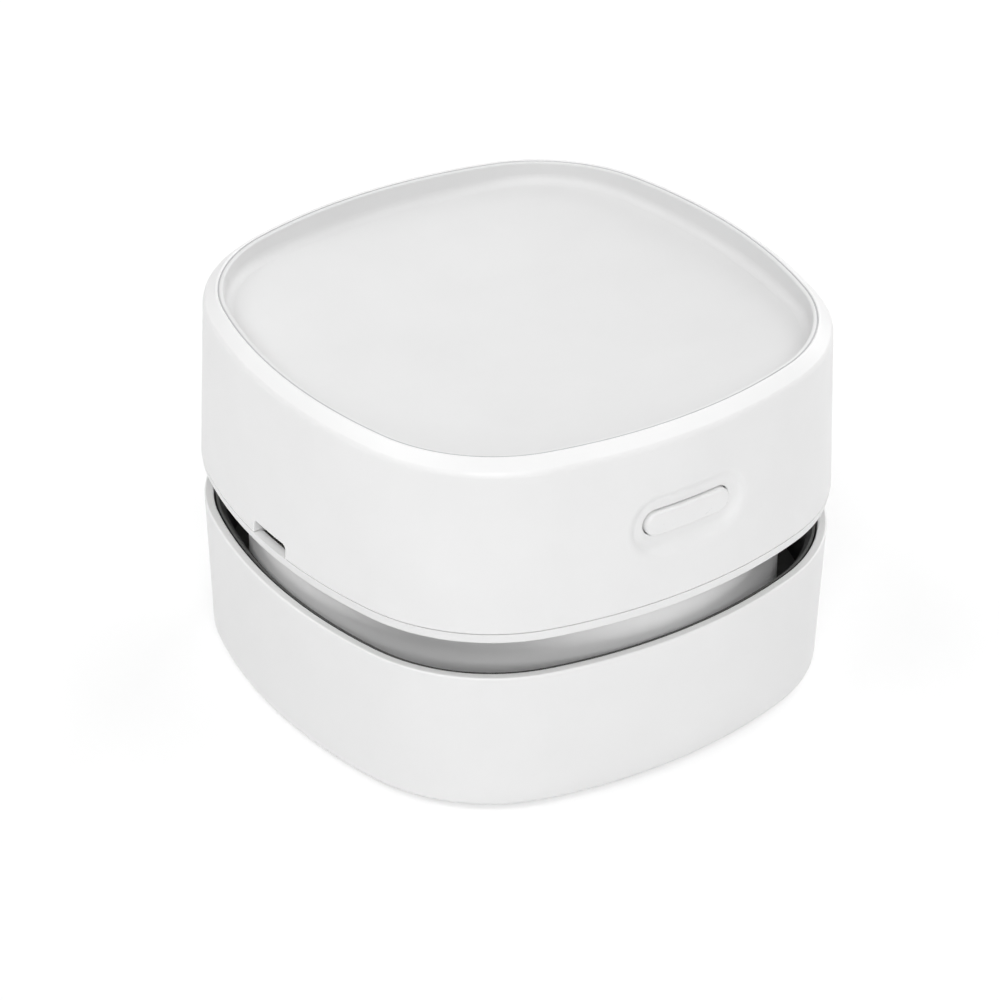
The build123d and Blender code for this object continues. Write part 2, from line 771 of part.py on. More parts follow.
def fan_impeller():
    """Backward-curved centrifugal fan, open towards the inlet, blades lower at the tip."""
    fan = disc(fan_radius, z_fan_disc, z_fan_top)
    z_nose = z_blade_low + fan_nose
    foot = fan_hub_radius + fan_hub_foot
    fan += revolved([(0, z_nose), (fan_hub_radius / 2, z_nose),
                     (fan_hub_radius, z_nose + fan_nose_height), (fan_hub_radius, z_fan_disc - fan_hub_flare),
                     (foot, z_fan_disc), (foot, z_fan_top), (0, z_fan_top)])
    tip, slant = fan_radius - fan_tip_inset, fan_eye_slant / 2
    side_view = revolved([(fan_eye - slant, z_fan_top), (fan_eye + slant, z_blade_low),
                          (fan_eye + fan_shoulder, z_blade_low), (tip, z_blade_low + fan_tip_drop),
                          (tip, z_fan_top)])
    blade = side_view & swept_blade(fan_eye - fan_eye_slant, fan_radius + over, blade_sweep, blade_thickness,
                                    z_blade_low - over, z_fan_top)
    for index in range(fan_blades):
        fan += Rotation(0, 0, index * 360 / fan_blades) * blade
    return fan - disc(shaft_radius, z_blade_low - over, z_fan_top + over)


def fan_diffuser():
    """Vaned ring around the fan that turns its air up into the head."""
    z_plate_low = z_band - diffuser_plate
    part = ring(diffuser_outer, diffuser_inner, z_plate_low, z_band)
    vane = swept_blade(diffuser_inner + diffuser_vane_inset, diffuser_outer - diffuser_vane_inset,
                       diffuser_sweep, diffuser_vane_thickness, z_inlet_top, z_band)
    for index in range(diffuser_vanes):
        part += Rotation(0, 0, diffuser_phase + index * 360 / diffuser_vanes) * vane
    for x, y in inlet_screw_places():
        part += disc(diffuser_boss_radius, z_inlet_top, z_band, x, y)
        part -= disc(screw_radius, z_inlet_top - over, z_inlet_top + inlet_screw_bite + screw_end_gap, x, y)
    return part


def motor_can():
    """Steel cup with the front bearing boss below and two side vents."""
    z_boss = z_can - base_thickness
    z_wall = z_can + can_wall
    can = disc(motor_radius, z_can, z_endcap) - disc(motor_radius - can_wall, z_wall, z_endcap + over)
    can += disc(motor_boss_radius, z_boss, z_wall)
    can -= disc(bearing_radius, z_boss - over, z_wall + over)
    for turn in (0, 180):
        x, y = polar(motor_screw_circle, turn)
        can -= disc(screw_radius, z_can - over, z_wall + over, x, y)
    z_vent = z_endcap - motor_vent_drop
    for turn in terminal_turns:
        can -= arc_block(motor_radius + over, motor_radius - can_wall - over, turn, motor_vent_span,
                         z_vent - motor_vent_height, z_vent)
    return can


def motor_endcap():
    cap = disc(motor_radius, z_endcap, z_motor_top)
    spigot = motor_radius - can_wall - fit_gap
    cap += ring(spigot, spigot - endcap_spigot, z_endcap - endcap_spigot, z_motor_top)
    cap -= disc(bearing_radius, z_endcap - over, z_motor_top + over)
    for turn in terminal_turns:
        cap -= terminal(turn, z_endcap - over, z_motor_top + over)
    edge = cap.edges().filter_by(GeomType.CIRCLE).group_by(Axis.Z)[-1].sort_by(SortBy.LENGTH)[-1]
    return chamfer(edge, endcap_chamfer)


def terminal(turn, z_low, z_high):
    outer, half = motor_radius - terminal_inset, terminal_width / 2
    return Rotation(0, 0, turn) * bar(outer - terminal_thickness, outer, -half, half, z_low, z_high)


def motor_terminals():
    """Brass blades that stand out of the end cap."""
    return group([terminal(turn, z_endcap, z_motor_top + terminal_height) for turn in terminal_turns])


def bearing(z_low):
    return ring(bearing_radius, shaft_radius + shaft_gap, z_low, z_low + bearing_length)


def motor_magnets():
    outer = motor_radius - can_wall - magnet_gap
    z_high = z_rotor + rotor_length
    return group([arc_block(outer, outer - magnet_thickness, turn, magnet_span, z_rotor, z_high)
                  for turn in terminal_turns])


def motor_rotor():
    """Three-pole armature with its windings."""
    reach = motor_radius - can_wall - magnet_gap - magnet_thickness - rotor_air_gap
    z_high = z_rotor + rotor_length
    core = disc(rotor_core_radius, z_rotor, z_high)
    pole = bar(0, reach - pole_shoe / 2, -pole_width / 2, pole_width / 2, z_rotor, z_high)
    pole += arc_block(reach, reach - pole_shoe, 0, pole_span, z_rotor, z_high)
    pole += bar(rotor_core_radius, reach - pole_shoe, -coil_width / 2, coil_width / 2,
                z_rotor - coil_overhang, z_high + coil_overhang)
    for index in range(rotor_poles):
        core += Rotation(0, 0, index * 360 / rotor_poles) * pole
    return core - disc(shaft_radius, z_rotor - 2 * over, z_high + 2 * over)


def commutator():
    return ring(commutator_radius, shaft_radius, z_rotor + rotor_length + commutator_gap, z_endcap - over)


def motor_shaft():
    return disc(shaft_radius, z_blade_low + fan_nose, z_motor_top - commutator_gap)


# ---- Battery, boards, socket and button ----
def battery_cell():
    """Round lithium cell with a raised cap at one end."""
    half = cell_length / 2
    body = rod_x(cell_radius, -half, half - cell_cap_proud, cell_y, z_cell)
    body = fillet(body.edges().filter_by(GeomType.CIRCLE), cell_round)
    return body + rod_x(cell_cap_radius, 0, half, cell_y, z_cell)


def battery_holder():
    """Open cradle with end walls, fixed to the head's floor."""
    end = cell_length / 2 + contact_thickness + 2 * fit_gap
    inner, outer = cell_y - cell_radius - fit_gap, cell_y + holder_outer
    z_low, z_high = z_part + holder_wall + cell_radius, z_part + holder_height
    holder = bar(-end - holder_wall, end + holder_wall, inner - holder_side, outer, z_part, z_high)
    holder -= bar(-end, end, inner, outer + over, z_low, z_high + over)
    holder -= rod_x(cell_radius + fit_gap, -end, end, cell_y, z_cell)
    half = holder_window_half
    return holder - bar(-end + holder_window_end, end - holder_window_end, cell_y - half, cell_y + half,
                        z_part - over, z_cell)


def battery_contacts():
    """Two sprung plates at the ends of the cell."""
    near, half = cell_length / 2 + fit_gap, contact_width / 2
    far = near + contact_thickness
    z_low, z_high = z_cell - contact_below, z_cell + contact_above
    return group([bar(x, x + contact_thickness, cell_y - half, cell_y + half, z_low, z_high)
                  for x in (-far, near)])


def main_board():
    low, high = board_span()
    z_low = z_part + board_lift
    z_high = z_low + board_thickness
    board = bar(low, high, -board_half_width, board_half_width, z_low, z_high)
    half = socket_width / 2 + fit_gap
    inner = socket_mouth() + socket_length + fit_gap
    board -= bar(low - over, inner, notch_offset - half, notch_offset + half, z_low - over, z_high + over)
    for x, y in board_screw_places():
        board -= disc(screw_radius + fit_gap, z_low - over, z_high + over, x, y)
    return board


def socket_mouth():
    """X of the charging socket's mouth."""
    return -shell_half(z_part) + shell_wall - socket_reach


def socket_form(growth, x_low, length):
    """The socket's stadium outline, grown evenly, as a bar along X."""
    face = Plane.YZ * SlotOverall(socket_width + 2 * growth, socket_height + 2 * growth)
    return Pos(x_low, notch_offset, z_socket) * extrude(face, amount=length, dir=(1, 0, 0))


def usb_socket():
    """Drawn steel shell of the charging socket, closed at the back, with four solder legs."""
    body = socket_form(0, socket_mouth(), socket_length)
    z_leg = z_part + board_lift + board_thickness
    for index in range(2):
        leg = board_span()[0] + leg_first + index * leg_pitch
        for side in (-1, 1):
            y = notch_offset + side * socket_width / 2
            ends = sorted((y - side * leg_root, y + side * leg_reach))
            body += bar(leg, leg + leg_width, *ends, z_leg, z_leg + leg_thickness)
    return body - socket_form(-socket_wall, socket_mouth() - over, socket_length - socket_back + over)


def usb_tongue():
    x, half, thick = socket_mouth(), tongue_width / 2, tongue_thickness / 2
    return bar(x + tongue_setback, x + socket_length - socket_back, notch_offset - half, notch_offset + half,
               z_socket - thick, z_socket + thick)


def board_components():
    """Charge controller, coil, capacitor and two small parts on the main board."""
    low, high = board_span()
    top = z_part + board_lift + board_thickness
    chip, coil, small = high - chip_inset, low + coil_inset, high - small_part_inset
    half = chip_length / 2
    parts = [bar(chip - chip_length, chip, -half, half, top, top + chip_height)]
    half = coil_length / 2
    parts.append(bar(coil, coil + coil_length, side_part_place - half, side_part_place + half,
                     top, top + coil_height))
    parts.append(disc(capacitor_radius, top, top + capacitor_height, low + capacitor_inset, -side_part_place))
    half = small_part_length / 2
    for y in (-side_part_place, side_part_place):
        parts.append(bar(small - small_part_width, small, y - half, y + half, top, top + small_part_height))
    return group(parts)


def switch_board():
    front, back = switch_levels()[3:]
    half, z_low = switch_board_width / 2, z_part + switch_board_lift
    return bar(-half, half, front, back, z_low, z_low + switch_board_height)


def switch_body():
    """Push switch with a blind bore for the plunger."""
    _, _, switch_front, board_front, _ = switch_levels()
    half = switch_size / 2
    body = bar(-half, half, switch_front, board_front, z_button - half, z_button + half)
    bore = plunger_radius + move_gap / 2
    return body - rod_y(bore, switch_front - over, switch_front + plunger_bore, z_button)


def switch_plunger():
    _, flange_back, switch_front, _, _ = switch_levels()
    return rod_y(plunger_radius, flange_back + button_post_length, switch_front + plunger_reach, z_button)


def power_button():
    """Pill-shaped cap that follows the bowed front, with a retaining flange and a post."""
    flange_front, flange_back, _, _, _ = switch_levels()
    cap = pill(button_length, button_height, -body_half - over, flange_back, z_button)
    cap &= block(shell_half(z_part) - button_recess, shell_half(z_bevel) - button_recess, z_part, z_bevel)
    cap = fillet(cap.faces().sort_by(Axis.Y)[0].edges(), button_round)
    cap += pill(button_length + 2 * button_flange, button_height + 2 * button_flange,
                flange_front, flange_back, z_button)
    return cap + rod_y(button_post_radius, flange_front, flange_back + button_post_length, z_button)


# ---- Lid and filter ----
def lid_half(z):
    """Half width of the lid at a height, just inside the dust bin's drafted wall."""
    return bin_half(z) - bin_wall - move_gap


def bin_lid():
    """Dark lid of the dust bin: an outer wall, a gutter for the collar, and a raised plinth inside it.

    The plinth has the bayonet slots around the filter's opening.
    """
    lid = block(lid_half(z_gutter_low), lid_half(z_liner), z_gutter_low, z_liner)
    room = block(lid_half(z_gutter) - liner_thickness, lid_half(z_liner) - liner_thickness, z_gutter, z_liner)
    lid -= room
    thin = z_liner - liner_bevel
    lid -= block(lid_half(thin) - liner_thickness - move_gap, lid_half(z_liner) - liner_tip, thin, z_liner)
    lid -= disc(neck_radius + move_gap, z_gutter, z_liner + over)
    lid += disc(plinth_radius, z_gutter_low, z_lid)
    lid -= disc(plinth_radius - plinth_wall, z_gutter_low - over, z_lid_low)
    low, high = z_lid_low - over, z_lid + over
    narrow, wide = tab_angle + twist_angle + slot_play, tab_angle + slot_play
    for turn in corner_turns:
        lid -= arc_block(tab_outer + fit_gap, tab_inner - fit_gap, turn + twist_angle / 2, narrow, low, high)
        lid -= arc_block(tab_outer + fit_gap, slot_inner, turn + twist_angle, wide, low, high)
    lid -= disc(filter_radius - filter_flange, low, high)
    return lid - disc(filter_radius, z_lid - filter_flange_thickness, high)


def lid_seal():
    outer = lid_half(z_bin_ledge)
    inner = outer - seal_width
    seal = block(outer, outer, z_bin_ledge + seal_gap, z_gutter_low)
    return seal - block(inner, inner, z_bin_ledge - over, z_gutter_low + over)


def filter_frame():
    """Round cup that hangs in the lid by its flange, with spokes across its floor."""
    cup = filter_radius - filter_flange - fit_gap
    inner, half = cup - filter_wall, filter_rib_width / 2
    z_low = z_lid - filter_height
    z_high = z_low + filter_floor
    frame = ring(filter_radius - fit_gap, inner, z_lid - filter_flange_thickness, z_lid)
    frame += ring(cup, inner, z_low, z_lid)
    for radius in (filter_hub_radius, cup * filter_ring_share):
        frame += ring(radius + half, radius - half, z_low, z_high)
    rib = bar(filter_hub_radius, cup - filter_wall / 2, -half, half, z_low, z_high)
    for index in range(filter_ribs):
        frame += Rotation(0, 0, filter_phase + index * 360 / filter_ribs) * rib
    return frame


def filter_mesh():
    z_low = z_lid - filter_height + filter_floor
    return disc(filter_radius - filter_flange - filter_wall - 2 * fit_gap, z_low, z_low + mesh_thickness)


# ---- Dust bin, nozzle and brush ----
def nozzle_screw_places():
    return [polar(nozzle_screw_circle, turn) for turn in (0, 90, 180, 270)]


def pad_places():
    return [polar(pad_circle, turn) for turn in corner_turns]


def dust_bin():
    """Open box with a floor, the lid's ledge and four blind screw bosses."""
    outer = block(bin_half(z_bin), bin_half(z_rim_low), z_bin, z_rim_low)
    outer = fillet(outer.faces().sort_by(Axis.Z)[0].edges(), bin_edge_round)
    part = outer - block(bin_half(z_floor) - bin_wall, bin_half(z_rim_low) - bin_wall, z_floor, z_rim_low)
    part = fillet(level_edges(part, z_rim_low), bin_rim_round)
    recess = bin_half(z_bin) - bin_wall
    part -= block(recess, recess, z_bin - over, z_floor_low)
    reach = bin_half(z_bin_ledge) - bin_wall
    inner = reach - bin_ledge_width
    ledge = block(reach + bin_wall / 2, reach + bin_wall / 2, z_bin_ledge - bin_ledge_thickness, z_bin_ledge)
    part += ledge - block(inner, inner, z_floor, z_bin_ledge + over)
    z_boss = z_floor + nozzle_boss_height
    for x, y in nozzle_screw_places():
        part += disc(nozzle_boss_radius, z_floor_low, z_boss, x, y)
        part -= disc(screw_radius, z_floor_low - over, z_boss - nozzle_boss_roof, x, y)
    return part - disc(inlet_radius + funnel_wall + fit_gap, z_floor_low - over, z_floor + over)


def nozzle_plate():
    """Bottom cover with the suction mouth, the brush groove, pad seats and air channels."""
    half = bin_half(z_bin) - bin_wall - fit_gap
    low, high = z_plate - over, z_floor_low + over
    plate = block(half, half, z_plate, z_floor_low) - disc(inlet_radius, low, high)
    groove_half = brush_width / 2 + fit_gap
    plate -= ring(brush_radius + groove_half, brush_radius - groove_half, low, z_plate + brush_groove)
    for x, y in pad_places():
        plate -= disc(pad_radius + fit_gap, low, z_plate + pad_seat, x, y)
    for x, y in nozzle_screw_places():
        plate -= disc(screw_radius + fit_gap, low, high, x, y)
        plate -= disc(screw_head_radius + fit_gap, low, z_plate + nozzle_head_recess, x, y)
    for turn in channel_turns:
        plate -= arc_block(half - channel_end, brush_radius + brush_width, turn, channel_span,
                           low, z_plate + channel_depth)
    return plate


def inlet_funnel():
    """Raised throat that stops dust falling back out."""
    outer, top = inlet_radius + funnel_wall, z_floor + funnel_height
    flange, z_flange = outer + funnel_flange, z_floor + funnel_flange_thickness
    return revolved([(outer, z_floor_low), (outer, z_floor), (flange, z_floor), (flange, z_flange),
                     (outer, z_flange), (throat_radius + funnel_wall, top), (throat_radius, top),
                     (inlet_radius, z_floor_low)])


def brush_ring():
    """Strip in the plate's groove with bristle tufts that reach the table."""
    half = brush_width / 2
    part = ring(brush_radius + half, brush_radius - half, z_plate - brush_proud, z_plate + brush_seated)
    for index in range(brush_tufts):
        x, y = polar(brush_radius, index * 360 / brush_tufts)
        part += disc(tuft_radius, tuft_clearance, z_plate, x, y)
    return part


def glide_pads():
    pads = []
    for x, y in pad_places():
        pad = disc(pad_radius, 0, z_plate + pad_seat, x, y)
        pads.append(fillet(pad.edges().filter_by(GeomType.CIRCLE).group_by(Axis.Z)[0], pad_round))
    return group(pads)


# ---- Screws ----
def case_screws():
    seat = z_band - ear_thickness
    length = ear_thickness + base_thickness + screw_bite
    return group([screw(*polar(ear_circle, turn), seat, length) for turn in boss_turns])


def motor_screws():
    length = base_thickness + can_wall + motor_screw_end
    return group([screw(*polar(motor_screw_circle, turn), z_band, length) for turn in (0, 180)])


def inlet_screws():
    length = inlet_plate_thickness + inlet_screw_bite
    return group([screw(x, y, z_inlet, length) for x, y in inlet_screw_places()])


def nozzle_screws():
    seat = z_plate + nozzle_head_recess
    length = z_floor + nozzle_boss_height - nozzle_boss_roof - screw_end_gap - seat
    return group([screw(x, y, seat, length, recess=True) for x, y in nozzle_screw_places()])


def board_screws():
    seat = z_part + board_lift + board_thickness
    length = board_lift + board_thickness
    return group([screw(x, y, seat, length, up=False) for x, y in board_screw_places()])


pieces = {
    "dust_bin": dust_bin,
    "nozzle_plate": nozzle_plate,
    "inlet_funnel": inlet_funnel,
    "brush_ring": brush_ring,
    "glide_pads": glide_pads,
    "nozzle_screws": nozzle_screws,
    "bin_lid": bin_lid,
    "lid_seal": lid_seal,
    "filter_frame": filter_frame,
    "filter_mesh": filter_mesh,
    "upper_shell": upper_shell,
    "top_tray": top_tray,
    "upper_base": upper_base,
    "neck_collar": neck_collar,
    "inlet_plate": inlet_plate,
    "inlet_screws": inlet_screws,
    "fan_diffuser": fan_diffuser,
    "case_screws": case_screws,
    "motor_can": motor_can,
    "motor_magnets": motor_magnets,
    "motor_endcap": motor_endcap,
    "motor_terminals": motor_terminals,
    "motor_screws": motor_screws,
    "front_bearing": lambda: bearing(z_can - base_thickness + front_bearing_inset),
    "rear_bearing": lambda: bearing(z_endcap - rear_bearing_drop),
    "main_board": main_board,
    "board_components": board_components,
    "board_screws": board_screws,
    "usb_socket": usb_socket,
    "usb_tongue": usb_tongue,
    "battery_cell": battery_cell,
    "battery_holder": battery_holder,
    "battery_contacts": battery_contacts,
    "switch_board": switch_board,
    "switch_body": switch_body,
    "power_button": power_button,
    "switch_plunger": switch_plunger,
    "fan_impeller": fan_impeller,
    "motor_shaft": motor_shaft,
    "motor_rotor": motor_rotor,
    "commutator": commutator,
}

for node, make in pieces.items():
    export_step(make(), f"parts/{node}.step")
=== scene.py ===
import bpy
import json
import math
import random
from mathutils import Matrix, Vector


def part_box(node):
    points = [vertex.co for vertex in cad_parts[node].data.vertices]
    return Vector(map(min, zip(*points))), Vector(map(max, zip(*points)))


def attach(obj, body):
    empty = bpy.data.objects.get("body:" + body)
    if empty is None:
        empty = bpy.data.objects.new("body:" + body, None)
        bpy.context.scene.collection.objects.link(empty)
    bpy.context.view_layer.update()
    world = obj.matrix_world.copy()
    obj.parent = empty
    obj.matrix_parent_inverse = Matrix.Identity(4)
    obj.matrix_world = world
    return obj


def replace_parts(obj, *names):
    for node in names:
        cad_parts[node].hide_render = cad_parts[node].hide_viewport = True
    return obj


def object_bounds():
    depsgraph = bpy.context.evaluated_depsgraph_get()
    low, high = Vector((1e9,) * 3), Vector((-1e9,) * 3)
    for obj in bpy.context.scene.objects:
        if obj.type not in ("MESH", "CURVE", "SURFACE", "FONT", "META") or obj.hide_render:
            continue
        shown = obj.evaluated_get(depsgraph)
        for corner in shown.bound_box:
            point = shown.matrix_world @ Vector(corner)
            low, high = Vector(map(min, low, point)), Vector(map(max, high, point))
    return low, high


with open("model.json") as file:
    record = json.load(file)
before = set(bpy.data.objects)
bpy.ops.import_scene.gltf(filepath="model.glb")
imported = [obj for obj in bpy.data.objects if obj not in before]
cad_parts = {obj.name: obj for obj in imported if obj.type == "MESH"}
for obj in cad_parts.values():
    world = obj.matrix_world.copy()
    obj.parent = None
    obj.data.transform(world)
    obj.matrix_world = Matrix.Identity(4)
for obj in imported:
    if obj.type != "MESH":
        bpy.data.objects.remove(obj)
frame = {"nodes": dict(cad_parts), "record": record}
nodes = frame["nodes"]
cad_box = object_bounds()
low, high = (Vector(corner) for corner in cad_box)
mm = 0.001

# ---- Camera: the photograph's viewing angle ----
aim_height = 31.5 * mm  # of the point on the Z axis that the camera's angles and distance start from
camera_distance = 580.8145 * mm
camera_elevation = math.radians(31.96857)
camera_azimuth = math.radians(-35.35178)
camera_roll = math.radians(0.5383)
aim_right = -2.1855 * mm  # the camera looks this far to the right of that point, and above it
aim_up = -6.1126 * mm
lens = 134.424
sensor = 36.0
clip_near = 10 * mm
clip_far = 20


def make_camera():
    sin_a, cos_a = math.sin(camera_azimuth), math.cos(camera_azimuth)
    sin_e, cos_e = math.sin(camera_elevation), math.cos(camera_elevation)
    back = Vector((sin_a * cos_e, -cos_a * cos_e, sin_e))
    right = Vector((cos_a, sin_a, 0))
    up = Vector((-sin_a * sin_e, cos_a * sin_e, cos_e))
    centre = Vector((0, 0, aim_height))
    place = centre + back * camera_distance
    aim = centre + right * aim_right + up * aim_up
    back = (place - aim).normalized()
    right = Vector((0, 0, 1)).cross(back).normalized()
    up = back.cross(right)
    turned_right = right * math.cos(camera_roll) + up * math.sin(camera_roll)
    turned_up = up * math.cos(camera_roll) - right * math.sin(camera_roll)
    data = bpy.data.cameras.new("camera")
    data.lens = lens
    data.sensor_width = sensor
    data.clip_start = clip_near
    data.clip_end = clip_far
    camera = bpy.data.objects.new("camera", data)
    bpy.context.scene.collection.objects.link(camera)
    columns = (turned_right, turned_up, back, place)
    camera.matrix_world = Matrix([[column[i] for column in columns] for i in range(3)] + [[0, 0, 0, 1]])
    bpy.context.scene.camera = camera


make_camera()

# ---- Material helpers ----
noise_low, noise_high = 0.3, 0.7  # where noise mostly lies
tint_patch = 14 * mm  # size of a moulding's patches of slightly different tint
tint_drift = 0.012
gloss_patch = 1.1 * mm  # size of its patches of slightly different gloss
gloss_drift = 0.03
waviness = 9 * mm  # length of its broad, faint waves
waviness_height = 0.012 * mm
waviness_strength = 0.5
painted_facing = (0.85, 0.99)  # Z of the normals over which the painted top tone sets in
painted_edge = 0.3 * mm  # height over which it sets in
painted_patch = 0.6 * mm
painted_cover = (0.85, 1.0)
painted_roughness = 0.2  # what the full painted tone adds to the roughness
metal_patch = 2.5 * mm
metal_drift = 0.06
metal_mark_height = 0.002 * mm
track_pitch = 3.2 * mm
track_gap = 0.06  # as a share of the pitch
track_height = 0.02 * mm
solder_patch = 0.8 * mm
weave_pitch = 0.35 * mm
weave_uneven = 0.4
weave_height = 0.08 * mm


class Tree:
    """Short hand for one node material."""

    def __init__(self, name):
        self.material = bpy.data.materials.new(name)
        self.material.use_nodes = True
        self.nodes = self.material.node_tree.nodes
        self.links = self.material.node_tree.links
        self.shader = self.nodes["Principled BSDF"]
        self.place = self.nodes.new("ShaderNodeTexCoord").outputs["Object"]

    def add(self, kind, **values):
        """Adds a node and sets its properties and inputs by name."""
        node = self.nodes.new("ShaderNode" + kind)
        for key, value in values.items():
            if hasattr(node, key):
                setattr(node, key, value)
            else:
                node.inputs[key.replace("_", " ")].default_value = value
        return node

    def link(self, source, target):
        self.links.new(source, target)

    def noise(self, size, detail=2.0, roughness=0.5, stretch=(1, 1, 1)):
        """Noise whose features are about size metres across."""
        mapping = self.add("Mapping", Scale=stretch)
        node = self.add("TexNoise", Scale=1 / size, Detail=detail, Roughness=roughness)
        self.link(self.place, mapping.inputs["Vector"])
        self.link(mapping.outputs["Vector"], node.inputs["Vector"])
        return node.outputs["Fac"]

    def ranged(self, source, start, end, low_value=0.0, high_value=1.0):
        """Maps start to end onto a range of values."""
        node = self.add("MapRange", From_Min=start, From_Max=end, To_Min=low_value, To_Max=high_value)
        self.link(source, node.inputs["Value"])
        return node.outputs["Result"]

    def spread(self, source, low_value, high_value):
        """Maps noise to a range of values."""
        return self.ranged(source, noise_low, noise_high, low_value, high_value)

    def combined(self, operation, first, second):
        node = self.add("Math", operation=operation)
        self.link(first, node.inputs[0])
        self.link(second, node.inputs[1])
        return node.outputs["Value"]

    def upward(self, vector):
        """Z of a vector."""
        node = self.add("SeparateXYZ")
        self.link(vector, node.inputs["Vector"])
        return node.outputs["Z"]

    def colours(self, source, dark, pale, start=noise_low, end=noise_high):
        ramp = self.add("ValToRGB")
        first, last = ramp.color_ramp.elements
        first.position, last.position = start, end
        first.color, last.color = (*dark, 1), (*pale, 1)
        self.link(source, ramp.inputs["Fac"])
        return ramp.outputs["Color"]

    def drifting(self, source, colour, amount):
        """A colour that drifts darker and paler by a share of itself."""
        dark = tuple(c * (1 - amount) for c in colour)
        pale = tuple(min(1, c * (1 + amount)) for c in colour)
        return self.colours(source, dark, pale)

    def bump(self, source, height, strength=1.0, before=None):
        node = self.add("Bump", Strength=strength, Distance=height)
        self.link(source, node.inputs["Height"])
        if before is not None:
            self.link(before, node.inputs["Normal"])
        return node.outputs["Normal"]

    def grained(self, grain, grain_height):
        """Spark-eroded grain, measured in mm, with a broad, faint waviness over it."""
        fine = self.bump(self.noise(grain * mm, 2), grain_height * mm)
        self.set(Normal=self.bump(self.noise(waviness, 1), waviness_height, waviness_strength, fine))

    def set(self, **values):
        """Sets the shader's inputs, to numbers or to the outputs of other nodes."""
        for key, value in values.items():
            socket = self.shader.inputs[key.replace("_", " ")]
            if hasattr(value, "is_output"):
                self.link(value, socket)
            else:
                socket.default_value = value


def moulded(name, colour, roughness, grain=0.12, grain_height=0.004, tint=tint_drift, coat=0.0,
            specular=0.5):
    """Moulded plastic, with a slight drift of tint and gloss."""
    t = Tree(name)
    t.set(Base_Color=t.drifting(t.noise(tint_patch, 3), colour, tint))
    t.set(Roughness=t.spread(t.noise(gloss_patch, 3), roughness - gloss_drift, roughness + gloss_drift))
    t.set(Coat_Weight=coat, Specular_IOR_Level=specular)
    t.grained(grain, grain_height)
    return t.material


def moulded_painted_top(name, colour, roughness, painted_tone, painted_from, grain=0.12, grain_height=0.004):
    """Moulded plastic with a painted tone on faces that look up, above a height: painted shade where it is
    darker, painted light where it is paler.
    """
    t = Tree(name)
    unpainted = t.drifting(t.noise(tint_patch, 3), colour, tint_drift)
    facing = t.ranged(t.upward(t.add("NewGeometry").outputs["Normal"]), *painted_facing)
    above = t.ranged(t.upward(t.place), painted_from - painted_edge, painted_from)
    patches = t.spread(t.noise(painted_patch, 4), *painted_cover)
    # share of the painted tone: up-facing faces above the height, in patches
    painted_top = t.combined("MULTIPLY", t.combined("MULTIPLY", facing, above), patches)
    mix = t.add("Mix", data_type="RGBA")
    factor, first, second = (mix.inputs[i] for i in (0, 6, 7))  # the colour sockets of the node
    t.link(painted_top, factor)
    t.link(unpainted, first)
    second.default_value = (*painted_tone, 1)
    t.set(Base_Color=mix.outputs[2])
    t.set(Roughness=t.spread(painted_top, roughness, roughness + painted_roughness))
    t.grained(grain, grain_height)
    return t.material


def metal(name, colour, roughness, stretch=(1, 1, 1), marks=0.4):
    """Bare metal with drawn or turned marks."""
    t = Tree(name)
    t.set(Base_Color=t.drifting(t.noise(metal_patch, 4), colour, metal_drift), Metallic=1.0)
    t.set(Roughness=t.spread(t.noise(marks * mm, 3, stretch=stretch), roughness - 0.06, roughness + 0.08))
    t.set(Normal=t.bump(t.noise(marks * mm, 3, stretch=stretch), metal_mark_height))
    return t.material


def board_material():
    """Solder mask over copper tracks."""
    t = Tree("board")
    brick = t.add("TexBrick", offset=0.5, squash=1.0, Scale=1 / track_pitch, Mortar_Size=track_gap)
    brick.inputs["Color1"].default_value = (0.010, 0.085, 0.030, 1)
    brick.inputs["Color2"].default_value = (0.012, 0.105, 0.036, 1)
    brick.inputs["Mortar"].default_value = (0.03, 0.20, 0.07, 1)
    t.link(t.place, brick.inputs["Vector"])
    t.set(Base_Color=brick.outputs["Color"], Coat_Weight=0.5)
    t.set(Roughness=t.spread(t.noise(solder_patch), 0.28, 0.4))
    t.set(Normal=t.bump(brick.outputs["Fac"], track_height))
    return t.material


def woven():
    """Fine plain weave of round nylon threads."""
    t = Tree("filter_weave")
    waves = []
    for axis in ("X", "Y"):
        wave = t.add("TexWave", wave_type="BANDS", bands_direction=axis, wave_profile="SIN",
                     Scale=2 / weave_pitch / math.tau, Distortion=weave_uneven)
        t.link(t.place, wave.inputs["Vector"])
        waves.append(wave.outputs["Fac"])
    threads = t.combined("MAXIMUM", *waves)
    t.set(Base_Color=t.colours(threads, (0.05, 0.052, 0.056), (0.30, 0.31, 0.33), 0.45, 0.95))
    t.set(Roughness=0.75, Sheen_Weight=0.3)
    t.set(Normal=t.bump(threads, weave_height))
    return t.material


